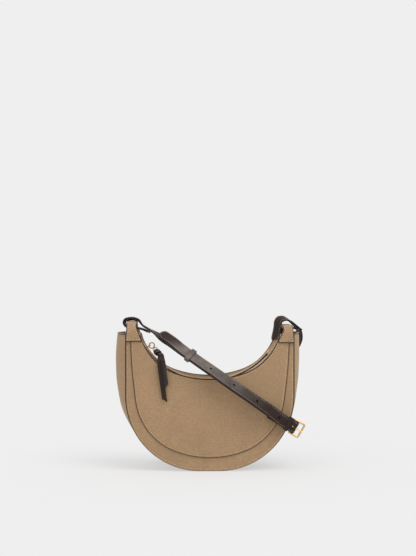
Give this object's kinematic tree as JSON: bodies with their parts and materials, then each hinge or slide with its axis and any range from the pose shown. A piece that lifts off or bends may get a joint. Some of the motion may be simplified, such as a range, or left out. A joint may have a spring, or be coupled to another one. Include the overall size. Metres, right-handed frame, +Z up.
{
  "type": "crescent shoulder bag",
  "caption": "Small half moon shoulder bag with a bowed gusset, a curved zip and a buckled leather strap.",
  "frame": {"origin": "centre of the flat base face, where the bag stands", "axes": "+X to the right seen from the front, +Y from the front panel to the back panel, +Z up"},
  "size_m": [0.2474, 0.11, 0.2011],
  "materials": {
    "suede": "napped tan suede",
    "board": "grey stiffening board",
    "lining": "woven cotton lining",
    "dark_leather": "dark brown grained leather with a light sheen",
    "zip_tape": "woven polyester zip tape",
    "gold": "light gold plating, polished"
  },
  "bodies": {
    "shell": {"front_border": "suede", "front_panel": "suede", "front_board": "board", "back_border": "suede", "back_panel": "suede", "back_board": "board", "gusset_left": "suede", "gusset_right": "suede", "base_board": "board", "bridge_left": "suede", "bridge_right": "suede", "bridge_backing_left": "dark_leather", "bridge_backing_right": "dark_leather", "horn_cap_left": "suede", "horn_cap_right": "suede", "top_strip_front": "suede", "top_strip_back": "suede", "zip_end_left": "suede", "zip_end_right": "suede", "zip_stop_right": "gold", "lining_front": "lining", "lining_back": "lining", "lining_gusset": "lining", "inner_pocket": "lining", "strap_short": "dark_leather", "strap_long": "dark_leather", "fixed_keeper": "dark_leather"},
    "zip_front_half": {"zip_tape_front": "zip_tape", "zip_teeth_front": "gold", "zip_stop_front": "gold"},
    "zip_back_half": {"zip_tape_back": "zip_tape", "zip_teeth_back": "gold", "zip_stop_back": "gold"},
    "slider": {"zip_slider": "gold"},
    "ring": {"pull_ring": "gold"},
    "pull": {"pull_link": "gold", "puller": "dark_leather", "puller_wrap": "dark_leather"},
    "keeper": {"sliding_keeper": "dark_leather"},
    "buckle": {"buckle_frame": "gold"},
    "prong": {"buckle_prong": "gold"}
  },
  "joints": [
    {"name": "zip_travel", "type": "hinge", "parent": "shell", "child": "slider", "pos_m": [0, 0, 0.217], "axis": [0, -1, 0], "range_deg": [0, 100], "deforming": ["zip_teeth_front", "zip_teeth_back"]},
    {"name": "zip_front_parts", "type": "slide", "parent": "shell", "child": "zip_front_half", "axis": [0, -1, 0], "range_m": [0, 0.0055]},
    {"name": "zip_back_parts", "type": "slide", "parent": "shell", "child": "zip_back_half", "axis": [0, 1, 0], "range_m": [0, 0.0055]},
    {"name": "ring_swing", "type": "hinge", "parent": "slider", "child": "ring", "pos_m": [-0.07782, 0, 0.16177], "axis": [0, -1, 0], "range_deg": [0, 15]},
    {"name": "pull_swing", "type": "hinge", "parent": "ring", "child": "pull", "pos_m": [-0.07286, 0, 0.15933], "axis": [-0.866, 0, -0.5], "range_deg": [0, 60]},
    {"name": "keeper_slide", "type": "slide", "parent": "shell", "child": "keeper", "axis": [0.7954, -0.2629, -0.546], "range_m": [-0.006, 0.008]},
    {"name": "buckle_tilt", "type": "hinge", "parent": "shell", "child": "buckle", "pos_m": [0.10626, -0.04004, 0.05905], "axis": [-0.515, 0, -0.8572], "range_deg": [-12, 20]},
    {"name": "prong_lift", "type": "hinge", "parent": "buckle", "child": "prong", "pos_m": [0.10626, -0.04004, 0.05905], "axis": [-0.515, 0, -0.8572], "range_deg": [0, 20]}
  ],
  "couplings": [
    {"joint": "zip_front_parts", "follows": "zip_travel", "m_per_rad": 0.0031513},
    {"joint": "zip_back_parts", "follows": "zip_travel", "m_per_rad": 0.0031513}
  ]
}
